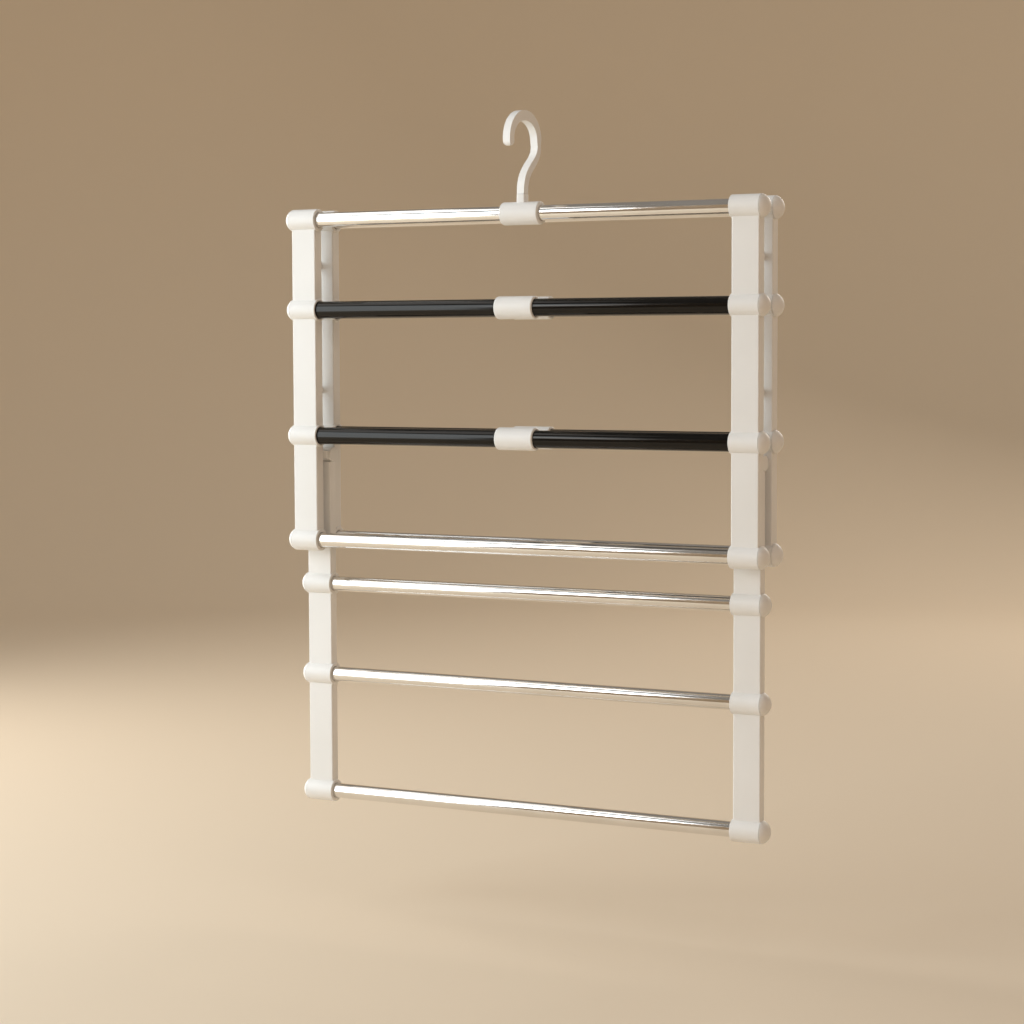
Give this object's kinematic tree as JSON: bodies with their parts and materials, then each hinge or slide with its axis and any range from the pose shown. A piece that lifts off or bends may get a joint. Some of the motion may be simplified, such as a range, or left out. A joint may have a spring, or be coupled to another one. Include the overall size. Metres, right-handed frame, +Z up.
{
  "type": "trouser rack",
  "caption": "Hanging trouser rack: ladder frames of chromed and black bars between off-white side rails, a swivel hook, and a lower frame that slides down.",
  "frame": {"origin": "the top of the hook's inside, where it rests on the rod; the swivel axis is the line X = 0, Y = 0", "axes": "+X along the bars to the right side, +Y to the rear, +Z up"},
  "size_m": [0.5678, 0.0775, 0.7493],
  "materials": {
    "white": "satin off-white",
    "chrome": "polished",
    "black": "glossy",
    "steel": "zinc plated"
  },
  "bodies": {
    "hook": {"hook": "white", "hook_ring": "steel"},
    "frame": {"front_bottom_bar": "chrome", "front_bottom_left_cap": "white", "front_bottom_right_cap": "white", "front_left_rail": "white", "front_right_rail": "white", "front_second_bar": "chrome", "front_second_grip": "black", "front_second_left_cap": "white", "front_second_right_cap": "white", "front_third_bar": "chrome", "front_third_grip": "black", "front_third_left_cap": "white", "front_third_right_cap": "white", "front_top_bar": "chrome", "front_top_left_cap": "white", "front_top_right_cap": "white", "hook_sleeve": "white", "left_lower_spacer": "white", "left_lower_spacer_screw": "steel", "left_upper_spacer": "white", "left_upper_spacer_screw": "steel", "rear_bottom_bar": "chrome", "rear_bottom_left_cap": "white", "rear_bottom_right_cap": "white", "rear_left_rail": "white", "rear_right_rail": "white", "rear_second_bar": "chrome", "rear_second_grip": "black", "rear_second_left_cap": "white", "rear_second_right_cap": "white", "rear_third_bar": "chrome", "rear_third_grip": "black", "rear_third_left_cap": "white", "rear_third_right_cap": "white", "rear_top_bar": "chrome", "rear_top_left_cap": "white", "rear_top_right_cap": "white", "right_lower_spacer": "white", "right_lower_spacer_screw": "steel", "right_upper_spacer": "white", "right_upper_spacer_screw": "steel", "second_twin_clip": "white", "third_twin_clip": "white"},
    "lower_frame": {"left_slide_shoe": "white", "lower_bottom_bar": "chrome", "lower_bottom_left_cap": "white", "lower_bottom_right_cap": "white", "lower_left_rail": "white", "lower_middle_bar": "chrome", "lower_middle_left_cap": "white", "lower_middle_right_cap": "white", "lower_right_rail": "white", "lower_top_bar": "chrome", "lower_top_left_cap": "white", "lower_top_right_cap": "white", "right_slide_shoe": "white"}
  },
  "joints": [
    {"name": "hook_swivel", "type": "hinge", "parent": "hook", "child": "frame", "pos_m": [0, 0, -0.08], "axis": [0, 0, 1], "continuous": true},
    {"name": "lower_slide", "type": "slide", "parent": "frame", "child": "lower_frame", "axis": [0, 0, -1], "range_m": [-0.0037, 0.0762]}
  ]
}
